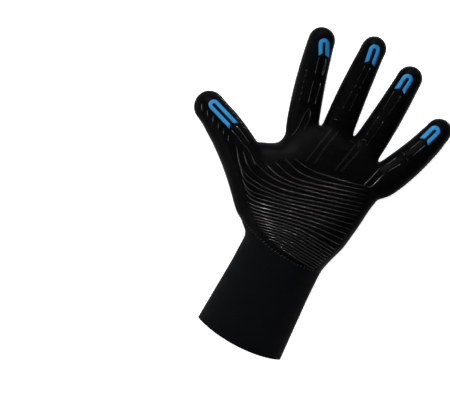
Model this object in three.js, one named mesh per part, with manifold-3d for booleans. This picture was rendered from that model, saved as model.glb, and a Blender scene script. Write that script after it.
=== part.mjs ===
// A left-hand diving glove of neoprene, lying on its back with the palm up and the fingers spread.
// Lengths are in millimetres and angles in degrees. While the glove is built, Y runs along the forearm towards
// the fingertips from Y = 0 at the wrist, X runs from the thumb to the little finger, and Z = 0 is the surface
// that it lies on. The finished group is moved so that its origin is the middle of its underside.
// Four neoprene panels make the hollow shell. The rubber prints are thin layers a small gap above the panels.
import * as THREE from "three";
import { mergeVertices } from "three/addons/utils/BufferGeometryUtils.js";
import Module from "manifold-3d";

const wasm = await Module();
wasm.setup();

// Neoprene
const wall = 3;
const gap = 0.3; // between two pieces that touch

// Cuff and wrist
const cuffLength = 89.5; // from the wrist to the middle of the cut edge
const cuffWidth = 81;
const cuffDepth = 52;
const cuffBulge = 5; // the middle of the cut edge stands this far past its corners
const cuffLean = 0.8; // the cuff's end is shifted towards the thumb by this
const wristWidth = 73;
const wristDepth = 45;

// Hand
const palmLength = 105; // from the wrist to the gaps between the fingers
const palmWidth = 97;
const palmDepth = 38;
const knuckleDepth = 29;
const palmCup = 3.5; // depth of the hollow in the palm
const webReach = 18; // how far the web between thumb and index finger stands out of the palm's side
const fingerCurl = 9; // how far the longest finger's tip rises above the knuckles
const digitFlatness = 0.88; // depth of a finger as a share of its width
const roundness = 2.2; // exponent of the body's sections, 2 for an ellipse

// Rubber prints
const printThickness = 0.3;
const ribHeight = 0.7;
const ribWidth = 1.5;
const ribCount = 24;
const markWidth = 9.4; // over both legs of a fingertip mark
const markLeg = 3.6;
const markNotch = 2.2; // how much further down a leg's outer side runs than its inner side
const ridgeWidth = 6.6; // over both legs of a finger's raised hairpin line
const ridgeLeg = 1.3;
const stripBreadth = 9.2; // backing strip under the hairpins of one finger

// Cuts between the hand and the digits
const digitMargin = 2.2; // how far a cut runs past the sides of a digit's root

// Stripes on the back
const blueStripe = 3.2;
const whiteStripe = 1.4;

// Facets
const bodySides = 24;
const digitSides = 12;
const tipSteps = 3;

// The digits. rootX and rootY are shares of the palm's width and length, lean is the heading at the root and
// turn is how much it changes up to the tip, both positive towards the little finger. cutAt is the share of the
// length at which the digit's own front and back begin. markAt is where the
// fingertip mark's closed end lies, as a share of the length, markLength is its real length, and markSide is
// how far it sits beside the middle line, as a share of the tip's width.
const digits = [
  {
    name: "thumb",
    rootX: -0.3,
    rootY: 0.142,
    length: 125,
    rootWidth: 41.5,
    tipWidth: 28.2,
    lean: -37,
    turn: -33,
    fullness: 1,
    cutAt: 0.42,
    markAt: 0.925,
    markLength: 28,
    markSide: 0.21,
  },
  {
    name: "index",
    rootX: -0.31,
    rootY: 0.86,
    length: 103.5,
    rootWidth: 28.8,
    tipWidth: 22.4,
    lean: -20,
    turn: 11,
    fullness: 1,
    cutAt: 0.27,
    markAt: 0.912,
    markLength: 16,
    markSide: 0.17,
  },
  {
    name: "middle",
    rootX: -0.035,
    rootY: 0.88,
    length: 111.5,
    rootWidth: 28.6,
    tipWidth: 22.4,
    lean: -7,
    turn: 7,
    fullness: 1,
    cutAt: 0.26,
    markAt: 0.933,
    markLength: 17,
    markSide: 0.09,
  },
  {
    name: "ring",
    rootX: 0.213,
    rootY: 0.86,
    length: 105,
    rootWidth: 28.8,
    tipWidth: 22.8,
    lean: 9,
    turn: -8,
    fullness: 1,
    cutAt: 0.27,
    markAt: 0.918,
    markLength: 17,
    markSide: -0.1,
  },
  {
    name: "little",
    rootX: 0.448,
    rootY: 0.8,
    length: 88.5,
    rootWidth: 30,
    tipWidth: 23,
    lean: 32.5,
    turn: -22,
    fullness: 1,
    cutAt: 0.27,
    markAt: 0.885,
    markLength: 17.5,
    markSide: -0.12,
  },
];
const digit = Object.fromEntries(digits.map((d) => [d.name, d]));

// The cuff's sections. at is a share of the cuff's length from the wrist, and flare runs from the wrist's size
// at 0 to the cuff's size at 1.
const cuffSections = [
  { at: 1.1, flare: 1.08 },
  { at: 0.62, flare: 0.5 },
  { at: 0.3, flare: 0.12 },
  { at: 0, flare: 0 },
];

// The hand's sections. at is a share of the palm's length, left and right are shares of its width from the
// middle line, web is the share of the web's reach that is added on the left, deep is a share of the palm's
// depth, cup is a share of the hollow's depth, and front says how far a section belongs to the closed end.
const palmSections = [
  { at: 0.025, left: 0.42, right: 0.388, web: 0, deep: 1.16, cup: 0, front: 0 },
  { at: 0.09, left: 0.49, right: 0.405, web: 0, deep: 1.12, cup: 0, front: 0 },
  { at: 0.24, left: 0.53, right: 0.462, web: 0.1, deep: 1.06, cup: 0.35, front: 0 },
  { at: 0.45, left: 0.53, right: 0.5, web: 0.5, deep: 1, cup: 1, front: 0 },
  { at: 0.62, left: 0.515, right: 0.52, web: 0.85, deep: 0.95, cup: 1, front: 0 },
  { at: 0.705, left: 0.515, right: 0.54, web: 0.95, deep: 0.9, cup: 0.8, front: 0 },
  { at: 0.752, left: 0.49, right: 0.55, web: 0.25, deep: 0.88, cup: 0.55, front: 0 },
  { at: 0.85, left: 0.467, right: 0.56, web: 0, deep: 0.82, cup: 0.2, front: 0 },
  { at: 0.98, left: 0.46, right: 0.47, web: 0, deep: 0.74, cup: 0, front: 0.2 },
  { at: 1.05, left: 0.42, right: 0.34, web: 0, deep: 0.56, cup: 0, front: 0.7 },
  { at: 1.085, left: 0.36, right: 0.2, web: 0, deep: 0.3, cup: 0, front: 1 },
];

// A digit's girth. at is a share of its length, taper runs from the root's width at 0 to the tip's at 1, and
// deep is the depth as a share of the full one. The digit's fullness moves its taper towards the tip.
const girths = [
  { at: 0, taper: 1, deep: 0.68 },
  { at: 0.13, taper: 0, deep: 0.78 },
  { at: 0.25, taper: 0.25, deep: 0.87 },
  { at: 0.4, taper: 0.48, deep: 0.96 },
  { at: 0.58, taper: 0.7, deep: 1 },
  { at: 0.74, taper: 0.88, deep: 1 },
];

const radians = THREE.MathUtils.degToRad;
const mix = THREE.MathUtils.lerp;

// The value at x of the straight pieces through [x, value] rows.
function along(rows, x) {
  const last = rows.length - 1;
  if (x <= rows[0][0]) return rows[0][1];
  if (x >= rows[last][0]) return rows[last][1];
  const next = rows.findIndex(([at]) => at > x);
  const [[x0, v0], [x1, v1]] = [rows[next - 1], rows[next]];
  return mix(v0, v1, (x - x0) / (x1 - x0));
}

// Height of the side seam, where the palm side meets the back, above the surface that the glove lies on.
const longest = Math.max(...digits.map((d) => d.length));
const knuckleHeight = knuckleDepth / 2;
const seamHeights = [
  [-cuffLength, cuffDepth / 2],
  [-0.3 * cuffLength, wristDepth / 2],
  [0.1 * palmLength, wristDepth / 2],
  [0.55 * palmLength, palmDepth / 2],
  [palmLength, knuckleHeight],
  [palmLength + 0.35 * longest, knuckleHeight + 0.12 * fingerCurl],
  [palmLength + 0.65 * longest, knuckleHeight + 0.55 * fingerCurl],
  [palmLength + 0.95 * longest, knuckleHeight + 1.1 * fingerCurl],
];
const seamHeight = (y) => along(seamHeights, y);

// A closed geometry through rings of points that all have the same number of points.
function loft(rings) {
  const sides = rings[0].length;
  const points = rings.flat();
  const faces = [];
  for (let r = 0; r + 1 < rings.length; r++)
    for (let k = 0; k < sides; k++) {
      const a = r * sides + k;
      const b = r * sides + ((k + 1) % sides);
      faces.push(a, b + sides, b, a, a + sides, b + sides);
    }
  const middle = (ring) =>
    ring.reduce((sum, p) => sum.add(p), new THREE.Vector3()).divideScalar(sides);
  const top = points.length - sides;
  const [start, end] = [points.length, points.length + 1];
  points.push(middle(rings[0]), middle(rings[rings.length - 1]));
  for (let k = 0; k < sides; k++) {
    const next = (k + 1) % sides;
    faces.push(start, k, next);
    faces.push(end, top + next, top + k);
  }
  return new THREE.BufferGeometry().setFromPoints(points).setIndex(faces);
}

// The solid of a closed geometry.
function solidOf(geometry) {
  const bare = geometry.clone();
  bare.deleteAttribute("normal");
  bare.deleteAttribute("uv");
  const merged = mergeVertices(bare, 1e-4);
  return new wasm.Manifold(
    new wasm.Mesh({
      numProp: 3,
      vertProperties: merged.attributes.position.array,
      triVerts: new Uint32Array(merged.index.array),
    }),
  );
}

// The mesh of a solid.
function meshOf(solid, material) {
  const { vertProperties, triVerts } = solid.getMesh();
  const geometry = new THREE.BufferGeometry();
  geometry.setAttribute("position", new THREE.BufferAttribute(Float32Array.from(vertProperties), 3));
  geometry.setIndex(new THREE.BufferAttribute(Uint32Array.from(triVerts), 1));
  geometry.computeVertexNormals();
  return new THREE.Mesh(geometry, material);
}

const joined = (solids) => solids.reduce((all, next) => all.add(next));

// A power of a signed sine or cosine, which turns an ellipse into a fuller section.
const fuller = (wave) => Math.sign(wave) * Math.abs(wave) ** (2 / roundness);

// One section of the cuff and hand in the plane at y. It is flattened at Z = 0, where the glove lies.
function bodyRing({ y, left, right, palmSide, cup, sink }, grow) {
  const ring = [];
  for (let k = 0; k < bodySides; k++) {
    const angle = (2 * Math.PI * k) / bodySides;
    const [c, s] = [fuller(Math.cos(angle)), fuller(Math.sin(angle))];
    const x = c * ((c < 0 ? left : right) + grow);
    const rise = s > 0 ? palmSide + grow : seamHeight(y) + sink + grow;
    const hollow = s > 0 ? cup * s * (1 - c * c) ** 2 : 0;
    ring.push(new THREE.Vector3(x, y, Math.max(seamHeight(y) + s * rise - hollow, Math.max(0, -grow))));
  }
  return ring;
}

// The cuff and the hand without the digits, grown outwards by grow, or shrunk where that is negative.
function bodyForm(grow) {
  const cuff = cuffSections.map(({ at, flare }) => {
    const half = mix(wristWidth, cuffWidth, flare) / 2;
    return {
      y: -at * cuffLength,
      left: half + cuffLean * flare,
      right: half - cuffLean * flare,
      palmSide: mix(wristDepth, cuffDepth, flare) / 2,
      cup: 0,
      sink: 0.018 * cuffDepth,
    };
  });
  const hand = palmSections.map((row) => ({
    y: row.at * palmLength + row.front * grow,
    left: row.left * palmWidth + row.web * webReach,
    right: row.right * palmWidth,
    palmSide: (row.deep * palmDepth) / 2,
    cup: row.cup * palmCup,
    sink: 0.05 * palmDepth - row.front * 0.6 * seamHeight(row.at * palmLength),
  }));
  return solidOf(loft([...cuff, ...hand].map((section) => bodyRing(section, grow))));
}

// A point of a digit's middle line at a share of its length, with the heading there in radians.
function digitAt(d, share) {
  const steps = 24;
  const spot = new THREE.Vector2(d.rootX * palmWidth, d.rootY * palmLength);
  const stride = (share * d.length) / steps;
  for (let k = 0; k < steps; k++) {
    const heading = radians(d.lean + d.turn * share * ((k + 0.5) / steps));
    spot.x += stride * Math.sin(heading);
    spot.y += stride * Math.cos(heading);
  }
  return { spot, heading: radians(d.lean + d.turn * share) };
}

// Half the width of a digit at a share of its length, before its tip is rounded off.
function halfWidth(d, share) {
  const taper = along(girths.map((row) => [row.at, row.taper]), share);
  const held = mix(taper, taper * taper, d.fullness);
  return mix(d.rootWidth, d.tipWidth, share > girths.at(-1).at ? 1 : held) / 2;
}

// One upright section across a digit.
function digitRing(d, share, half) {
  const { spot, heading } = digitAt(d, share);
  const across = new THREE.Vector3(Math.cos(heading), -Math.sin(heading), 0);
  const height = seamHeight(spot.y);
  const deep = digitFlatness * along(girths.map((row) => [row.at, row.deep]), share);
  const ring = [];
  for (let k = 0; k < digitSides; k++) {
    const angle = (2 * Math.PI * (k + 0.5)) / digitSides;
    const point = new THREE.Vector3(spot.x, spot.y, height);
    point.addScaledVector(across, half * Math.cos(angle));
    point.z += half * deep * Math.sin(angle);
    ring.push(point);
  }
  return ring;
}

// A digit with a round tip, grown outwards by grow.
function digitForm(d, grow) {
  const rings = girths.map(({ at }) => digitRing(d, at, halfWidth(d, at) + grow));
  const radius = d.tipWidth / 2 + grow;
  const reach = d.length + grow;
  for (let step = 0; step <= tipSteps; step++) {
    const angle = (Math.PI / 2) * (step / (tipSteps + 0.35));
    const share = (reach - radius * (1 - Math.sin(angle))) / d.length;
    rings.push(digitRing(d, share, radius * Math.cos(angle)));
  }
  return solidOf(loft(rings));
}

// The whole outside of the glove, grown outwards by grow. Its inside is the same form shrunk by the wall.
const forms = new Map();
function gloveForm(grow) {
  if (!forms.has(grow)) forms.set(grow, joined([bodyForm(grow), ...digits.map((d) => digitForm(d, grow))]));
  return forms.get(grow);
}

// An upright prism over an outline in plan, tall enough to pass through the whole glove.
const tall = 4 * cuffDepth;
function prism(outline) {
  const shape = new THREE.Shape(outline);
  const geometry = new THREE.ExtrudeGeometry(shape, { depth: 2 * tall, bevelEnabled: false });
  geometry.translate(0, 0, -tall);
  return solidOf(geometry);
}

// All that lies above the side seam, moved up by lift, or all below it.
const reachX = palmWidth + digit.thumb.length + digit.little.length;
const reachY = cuffLength + palmLength + longest;
function besideSeam(above, lift) {
  const edge = [...seamHeights.map(([y, z]) => [y, z + lift])];
  edge.unshift([-reachY, edge[0][1]]);
  edge.push([reachY, edge.at(-1)[1]]);
  const far = above ? tall : -tall;
  const outline = [...edge, [reachY, far], [-reachY, far]].map(([y, z]) => new THREE.Vector2(y, z));
  const geometry = new THREE.ExtrudeGeometry(new THREE.Shape(outline), { depth: 2 * reachX, bevelEnabled: false });
  geometry.translate(0, 0, -reachX);
  // The profile lies in (y, z) and runs along x.
  geometry.applyMatrix4(new THREE.Matrix4().set(0, 0, 1, 0, 1, 0, 0, 0, 0, 1, 0, 0, 0, 0, 0, 1));
  return solidOf(geometry);
}

// Plan outline of a band along points, closed by square ends.
function band(points, width) {
  const sides = [[], []];
  points.forEach((p, k) => {
    const before = points[Math.max(k - 1, 0)];
    const after = points[Math.min(k + 1, points.length - 1)];
    const way = after.clone().sub(before).normalize();
    const out = new THREE.Vector2(way.y, -way.x).multiplyScalar(width / 2);
    sides[0].push(p.clone().add(out));
    sides[1].unshift(p.clone().sub(out));
  });
  return [...sides[0], ...sides[1]];
}

// A print: the layer between two growths of the glove on one side, cut out by an outline in plan.
const layers = new Map();
function layer(outline, low, high, side) {
  const name = `${low} ${high} ${sides.indexOf(side)}`;
  if (!layers.has(name)) layers.set(name, gloveForm(high).subtract(gloveForm(low)).intersect(side));
  return layers.get(name).intersect(prism(outline));
}

// The shell and its four panels

// The cut edge of the cuff, bowed out in the middle.
function cuffEdge(x) {
  return -cuffLength + cuffBulge * (2 * x / cuffWidth) ** 2;
}
const cuffSteps = [-0.62, -0.5, -0.38, -0.25, -0.12, 0, 0.12, 0.25, 0.38, 0.5, 0.62];
const insideCuff = prism([
  ...cuffSteps.map((share) => new THREE.Vector2(share * cuffWidth, cuffEdge(share * cuffWidth))),
  new THREE.Vector2(reachX, 0),
  new THREE.Vector2(reachX, reachY),
  new THREE.Vector2(-reachX, reachY),
  new THREE.Vector2(-reachX, 0),
]);
const shell = gloveForm(0).subtract(gloveForm(-wall)).intersect(insideCuff);

// The seam between the palm panel and the cuff's front, a shallow arc across the wrist. drop is its lowest
// point below the wrist and lowX where that lies, as shares of the wrist's width.
const wristSeam = { drop: 0.063, lowX: 0.16, bow: 0.29 };
function wristSeamY(x) {
  const share = x / wristWidth - wristSeam.lowX;
  return wristWidth * (wristSeam.bow * share * share - wristSeam.drop);
}
const wristSteps = [-0.53, -0.4, -0.2, 0, 0.2, 0.4, 0.6];
function beyondWrist(lift) {
  const edge = wristSteps.map((share) => {
    const x = share * wristWidth;
    return new THREE.Vector2(x, wristSeamY(x) + lift);
  });
  const [first, last] = [edge[0], edge.at(-1)];
  return prism([
    new THREE.Vector2(-reachX, 0),
    new THREE.Vector2(first.x, 0),
    ...edge,
    new THREE.Vector2(reachX, last.y),
    new THREE.Vector2(reachX, reachY),
    new THREE.Vector2(-reachX, reachY),
  ]);
}

// The backs of the middle and ring fingers are a panel of their own, sewn on across the knuckles.
const seamShare = 0.92; // how far up the palm the knuckle seam lies
function between(one, other, share) {
  const [a, b] = [digitAt(one, share).spot, digitAt(other, share).spot];
  return a.add(b).divideScalar(2);
}
function knuckleOutline(spread) {
  const far = 1.2;
  const left = [between(digit.index, digit.middle, 0.1), between(digit.index, digit.middle, far)];
  const right = [between(digit.ring, digit.little, 0.1), between(digit.ring, digit.little, far)];
  const low = seamShare * palmLength - spread;
  const sag = 0.02 * palmLength;
  return [
    new THREE.Vector2(left[0].x - spread, low + sag),
    new THREE.Vector2(mix(left[0].x, right[0].x, 0.3), low - sag),
    new THREE.Vector2(mix(left[0].x, right[0].x, 0.7), low - sag),
    new THREE.Vector2(right[0].x + spread, low),
    new THREE.Vector2(right[0].x + spread, palmLength),
    new THREE.Vector2(right[1].x + spread, right[1].y),
    new THREE.Vector2(right[1].x, reachY),
    new THREE.Vector2(left[1].x, reachY),
    new THREE.Vector2(left[1].x - spread, left[1].y),
    new THREE.Vector2(left[0].x - spread, palmLength),
  ];
}

// The plan outline that holds one digit from its root outwards, drawn in by inset.
function digitPlan(d, inset) {
  const width = d.rootWidth + 2 * digitMargin;
  const start = d.cutAt + inset / d.length;
  const stations = [0, 0.25, 0.5, 0.75, 1].map((k) => mix(start, 1.15, k));
  const middle = stations.map((share) => digitAt(d, share).spot);
  return prism(band(middle, width - 2 * inset));
}

const palmHalf = besideSeam(true, gap / 2);
const backHalf = besideSeam(false, -gap / 2);
const upper = shell.intersect(palmHalf);
const lower = shell.intersect(backHalf);
const digitRoots = joined(digits.map((d) => digitPlan(d, -gap / 2)));
const cuffPlan = (inset) =>
  prism([
    new THREE.Vector2(-wristWidth, -2 * cuffLength),
    new THREE.Vector2(wristWidth, -2 * cuffLength),
    new THREE.Vector2(wristWidth, -inset),
    new THREE.Vector2(-wristWidth, -inset),
  ]);
const panels = {
  palm_panel: upper.intersect(beyondWrist(gap / 2)).subtract(digitRoots),
  cuff_front: upper.subtract(beyondWrist(-gap / 2)),
  back_panel: lower.subtract(prism(knuckleOutline(gap))).subtract(digitRoots).subtract(cuffPlan(-gap / 2)),
  cuff_back: lower.intersect(cuffPlan(gap / 2)),
  finger_back_panel: lower.intersect(prism(knuckleOutline(0))).subtract(digitRoots),
};
for (const d of digits) {
  const plan = digitPlan(d, gap / 2);
  panels[`${d.name}_front`] = upper.intersect(plan);
  panels[`${d.name}_back`] = lower.intersect(plan);
}

// The grip print on the palm: curved ribs on one thin backing

// Key ribs from the fingers down to the wrist. rib is the rib's number, and each x and y is a share of the
// palm's width and length. a is the thumb end and e is the little finger's end.
const keyRibs = [
  { rib: 0, ax: -0.34, ay: 0.75, bx: -0.27, by: 0.7, cx: -0.13, cy: 0.69, dx: 0.12, dy: 0.73, ex: 0.39, ey: 0.785 },
  { rib: 2, ax: -0.52, ay: 0.665, bx: -0.43, by: 0.605, cx: -0.21, cy: 0.585, dx: 0.1, dy: 0.64, ex: 0.43, ey: 0.73 },
  { rib: 4, ax: -0.64, ay: 0.575, bx: -0.52, by: 0.51, cx: -0.21, cy: 0.497, dx: 0.1, dy: 0.565, ex: 0.43, ey: 0.65 },
  { rib: 6, ax: -0.76, ay: 0.54, bx: -0.62, by: 0.42, cx: -0.31, cy: 0.4, dx: 0.1, dy: 0.495, ex: 0.43, ey: 0.57 },
  { rib: 8, ax: -0.6, ay: 0.35, bx: -0.49, by: 0.315, cx: -0.21, cy: 0.36, dx: 0.1, dy: 0.425, ex: 0.42, ey: 0.49 },
  { rib: 11, ax: -0.46, ay: 0.225, bx: -0.37, by: 0.228, cx: -0.2, cy: 0.267, dx: 0.1, dy: 0.323, ex: 0.41, ey: 0.35 },
  { rib: 14, ax: -0.38, ay: 0.147, bx: -0.27, by: 0.168, cx: -0.1, cy: 0.202, dx: 0.1, dy: 0.217, ex: 0.37, ey: 0.2 },
  { rib: 17, ax: -0.31, ay: 0.093, bx: -0.2, by: 0.117, cx: -0.05, cy: 0.137, dx: 0.1, dy: 0.135, ex: 0.33, ey: 0.1 },
  { rib: 20, ax: -0.22, ay: 0.052, bx: -0.12, by: 0.064, cx: 0, cy: 0.062, dx: 0.12, dy: 0.045, ex: 0.3, ey: 0.005 },
  { rib: 23, ax: -0.08, ay: 0.012, bx: 0.02, by: 0.007, cx: 0.1, cy: -0.004, dx: 0.18, dy: -0.012, ex: 0.26, ey: -0.022 },
];
function ribCurve(number) {
  const value = (column) => along(keyRibs.map((row) => [row.rib, row[column]]), number);
  const knots = ["a", "b", "c", "d", "e"].map(
    (end) => new THREE.Vector2(value(end + "x") * palmWidth, value(end + "y") * palmLength),
  );
  return new THREE.SplineCurve(knots);
}
// The outside of the palm side above a point in plan, raised along the surface's direction by lift.
const outside = meshOf(gloveForm(0));
const caster = new THREE.Raycaster();
const down = new THREE.Vector3(0, 0, -1);
function surfaceHeight(x, y) {
  caster.set(new THREE.Vector3(x, y, tall), down);
  return caster.intersectObject(outside)[0].point.z;
}
const feel = 2.5; // how far from a point the surface's slope is felt
function onPalm(spot, lift) {
  const slopeX = (surfaceHeight(spot.x + feel, spot.y) - surfaceHeight(spot.x - feel, spot.y)) / (2 * feel);
  const slopeY = (surfaceHeight(spot.x, spot.y + feel) - surfaceHeight(spot.x, spot.y - feel)) / (2 * feel);
  const away = new THREE.Vector3(-slopeX, -slopeY, 1).normalize();
  return new THREE.Vector3(spot.x, spot.y, surfaceHeight(spot.x, spot.y)).addScaledVector(away, lift);
}

// How far the surface bulges over the straight line from one point in plan to another.
function bulge(from, to) {
  const chord = (share) => mix(surfaceHeight(from.x, from.y), surfaceHeight(to.x, to.y), share);
  const over = [0.25, 0.5, 0.75].map((share) => {
    const spot = from.clone().lerp(to, share);
    return surfaceHeight(spot.x, spot.y) - chord(share);
  });
  return Math.max(0, ...over);
}

// The print is one closed body: each rib is a foot line, a crest line and a foot line, and the last rows close
// its underside, which follows the palm a gap away.
const ribPieces = 10;
const bed = gap + 0.4; // allows for the facets of both surfaces
function gripSolid() {
  const topRows = [];
  const underRows = [];
  const row = (spots, lift) =>
    spots.map((spot, k) => {
      const before = spots[Math.max(k - 1, 0)];
      const after = spots[Math.min(k + 1, spots.length - 1)];
      return onPalm(spot, lift + Math.max(bulge(before, spot), bulge(spot, after)));
    });
  for (let k = 0; k < ribCount; k++) {
    const curve = ribCurve((k * keyRibs.at(-1).rib) / (ribCount - 1));
    const line = curve.getSpacedPoints(ribPieces);
    const footing = band(line, ribWidth);
    const lower = footing.slice(0, ribPieces + 1);
    const upper = footing.slice(ribPieces + 1).reverse();
    topRows.push(row(upper, bed + printThickness));
    topRows.push(row(line, bed + printThickness + ribHeight));
    topRows.push(row(lower, bed + printThickness));
    underRows.push(row(upper, bed));
    if (k === ribCount - 1) underRows.push(row(lower, bed));
  }
  const columns = ribPieces + 1;
  const points = [...topRows.flat(), ...underRows.flat()];
  const top = (r, c) => r * columns + c;
  const under = (r, c) => (topRows.length + r) * columns + c;
  const faces = [];
  const sheet = (at, rows, flip) => {
    for (let r = 0; r + 1 < rows; r++)
      for (let c = 0; c + 1 < columns; c++) {
        const [p, q, u, v] = [at(r, c), at(r, c + 1), at(r + 1, c + 1), at(r + 1, c)];
        if (flip) faces.push(p, q, u, p, u, v);
        else faces.push(p, u, q, p, v, u);
      }
  };
  sheet(top, topRows.length, false);
  sheet(under, underRows.length, true);
  for (let k = 0; k < ribCount; k++) {
    const lastRow = k === ribCount - 1 ? 3 * k + 2 : 3 * k + 3;
    for (const c of [0, columns - 1]) {
      const fan = [under(k + 1, c)];
      for (let r = lastRow; r >= 3 * k; r--) fan.push(top(r, c));
      fan.push(under(k, c));
      for (let n = 1; n + 1 < fan.length; n++) {
        if (c === 0) faces.push(fan[0], fan[n], fan[n + 1]);
        else faces.push(fan[0], fan[n + 1], fan[n]);
      }
    }
  }
  const foot = [topRows.length - 1, underRows.length - 1];
  for (let c = 0; c + 1 < columns; c++) {
    faces.push(top(0, c), top(0, c + 1), under(0, c + 1), top(0, c), under(0, c + 1), under(0, c));
    const [p, q] = [top(foot[0], c), top(foot[0], c + 1)];
    const [u, v] = [under(foot[1], c + 1), under(foot[1], c)];
    faces.push(p, u, q, p, v, u);
  }
  return solidOf(new THREE.BufferGeometry().setFromPoints(points).setIndex(faces));
}
const palmGrip = gripSolid();
const sides = [palmHalf, backHalf];

// A band along a digit from one share of its length to another, shift to the side of its middle line.
function digitBand(d, from, to, shift, width, pieces = 4) {
  const points = Array.from({ length: pieces + 1 }, (_, k) => {
    const { spot, heading } = digitAt(d, mix(from, to, k / pieces));
    return new THREE.Vector2(spot.x + shift * Math.cos(heading), spot.y - shift * Math.sin(heading));
  });
  return band(points, width);
}

// Plan outline of a hairpin on a digit: two legs joined by a round end towards the fingertip at the share top.
// Each leg is cut slanting, with its outer side longer by notch.
function hairpin(d, top, length, middle, width, leg, notch) {
  const point = (down, aside) => {
    const { spot, heading } = digitAt(d, top - down / d.length);
    const shift = middle + aside;
    return new THREE.Vector2(spot.x + shift * Math.cos(heading), spot.y - shift * Math.sin(heading));
  };
  const arc = (radius, drop) =>
    [-90, -54, -18, 18, 54, 90].map((angle) => {
      const turn = radians(angle);
      return point(drop + radius * (1 - Math.cos(turn)), radius * Math.sin(turn));
    });
  const outside = width / 2;
  const inside = outside - leg;
  const half = length / 2;
  return [
    ...arc(outside, 0),
    point(half, outside),
    point(length, outside),
    point(length - notch, inside),
    point(half, inside),
    ...arc(inside, leg).reverse(),
    point(half, -inside),
    point(length - notch, -inside),
    point(length, -outside),
    point(half, -outside),
  ];
}

const printTop = gap + printThickness;
const ridgeTop = printTop + ribHeight;
const markMiddle = (d) => d.markSide * d.tipWidth;
function tipMark(d) {
  const outline = hairpin(d, d.markAt, d.markLength, markMiddle(d), markWidth, markLeg, markNotch);
  return layer(outline, gap, printTop, palmHalf);
}

// The raised double lines below a fingertip mark, fused by a thin strip under them. Each run is given by its
// upper and lower end as shares of the digit's length, and a run with a round end starts with a hairpin.
const ridgeRuns = {
  thumb: [{ top: 0.685, foot: 0.58, round: 0 }],
  index: [
    { top: 0.735, foot: 0.585, round: 0 },
    { top: 0.53, foot: 0.335, round: 0 },
    { top: 0.29, foot: 0.1, round: 1 },
  ],
  middle: [
    { top: 0.75, foot: 0.605, round: 0 },
    { top: 0.575, foot: 0.365, round: 1 },
    { top: 0.275, foot: 0.12, round: 0 },
  ],
  ring: [
    { top: 0.735, foot: 0.54, round: 0 },
    { top: 0.49, foot: 0.3, round: 0 },
    { top: 0.262, foot: 0.13, round: 0 },
  ],
  little: [
    { top: 0.665, foot: 0.5, round: 0 },
    { top: 0.44, foot: 0.2, round: 0 },
  ],
};
function ridges(d) {
  const runs = ridgeRuns[d.name];
  const highest = runs[0].top;
  const lowest = runs.at(-1).foot;
  const margin = ridgeLeg / d.length;
  const lean = markMiddle(d);
  const strip = digitBand(d, lowest - margin, highest + margin, lean, stripBreadth, 5);
  const lines = runs.flatMap((run) => {
    const length = (run.top - run.foot) * d.length;
    if (run.round) return [hairpin(d, run.top, length, lean, ridgeWidth, ridgeLeg, 0)];
    const aside = (ridgeWidth - ridgeLeg) / 2;
    return [-aside, aside].map((shift) => digitBand(d, run.foot, run.top, lean + shift, ridgeLeg, 2));
  });
  return joined([
    layer(strip, gap, printTop, palmHalf),
    ...lines.map((line) => layer(line, gap, ridgeTop, palmHalf)),
  ]);
}

// The two pairs of stripes on the back. Each point's x and y are shares of the palm's width and length on the
// hand, and of the cuff's width and length on the cuff.
const fingerStripe = [
  { x: 0.31, y: 0.83, wide: 1 },
  { x: 0.45, y: 1.06, wide: 0.85 },
  { x: 0.58, y: 1.3, wide: 0.65 },
  { x: 0.66, y: 1.5, wide: 0.5 },
];
const cuffStripe = [
  { x: 0.22, y: -0.96 },
  { x: 0.225, y: -0.65 },
  { x: 0.215, y: -0.32 },
];
const stripeApart = 0.052; // of the palm's width, between the middles of the blue and the white stripe
function taperBand(points, width) {
  const outer = band(points.map((p) => p.spot), 1);
  const count = points.length;
  return outer.map((p, k) => {
    const from = points[k < count ? k : 2 * count - 1 - k];
    return from.spot.clone().add(p.clone().sub(from.spot).multiplyScalar(width * from.wide));
  });
}
function fingerStripeBand(aside, width) {
  const points = fingerStripe.map(({ x, y, wide }) => ({
    spot: new THREE.Vector2(x * palmWidth + aside, y * palmLength),
    wide,
  }));
  return taperBand(points, width);
}
function cuffStripeBand(aside, width) {
  return band(
    cuffStripe.map(({ x, y }) => new THREE.Vector2(x * cuffWidth + aside, y * cuffLength)),
    width,
  );
}
const apart = stripeApart * palmWidth;
const stripes = {
  stripe_blue_finger: layer(fingerStripeBand(0, blueStripe), gap, printTop, backHalf),
  stripe_white_finger: layer(fingerStripeBand(apart, whiteStripe), gap, printTop, backHalf),
  stripe_blue_cuff: layer(cuffStripeBand(0, blueStripe * 1.3), gap, printTop, backHalf),
  stripe_white_cuff: layer(cuffStripeBand(apart, whiteStripe), gap, printTop, backHalf),
};

const group = new THREE.Group();
const looks = {
  jersey: new THREE.MeshStandardMaterial({ color: 0x0e1013, roughness: 0.82, metalness: 0 }),
  palm: new THREE.MeshStandardMaterial({ color: 0x0a0a0b, roughness: 0.5, metalness: 0 }),
  grip: new THREE.MeshStandardMaterial({ color: 0x060607, roughness: 0.25, metalness: 0 }),
  blue: new THREE.MeshStandardMaterial({ color: 0x2a9be0, roughness: 0.45, metalness: 0 }),
  white: new THREE.MeshStandardMaterial({ color: 0xd4d6d3, roughness: 0.5, metalness: 0 }),
};

const fineness = 0.03; // facets that differ by less are merged
function addPiece(name, solid, material) {
  const mesh = meshOf(solid.simplify(fineness), material);
  mesh.name = name;
  group.add(mesh);
}

for (const [name, panel] of Object.entries(panels))
  addPiece(name, panel, name === "palm_panel" || digit[name.replace("_front", "")] ? looks.palm : looks.jersey);
addPiece("palm_grip", palmGrip, looks.grip);
for (const d of digits) {
  addPiece(`tip_mark_${d.name}`, tipMark(d), looks.blue);
  addPiece(`ridges_${d.name}`, ridges(d), looks.grip);
}
for (const [name, stripe] of Object.entries(stripes))
  addPiece(name, stripe, name.includes("blue") ? looks.blue : looks.white);

const box = new THREE.Box3().setFromObject(group);
group.position.set(-(box.min.x + box.max.x) / 2, -(box.min.y + box.max.y) / 2, -box.min.z);

export default group;
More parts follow.
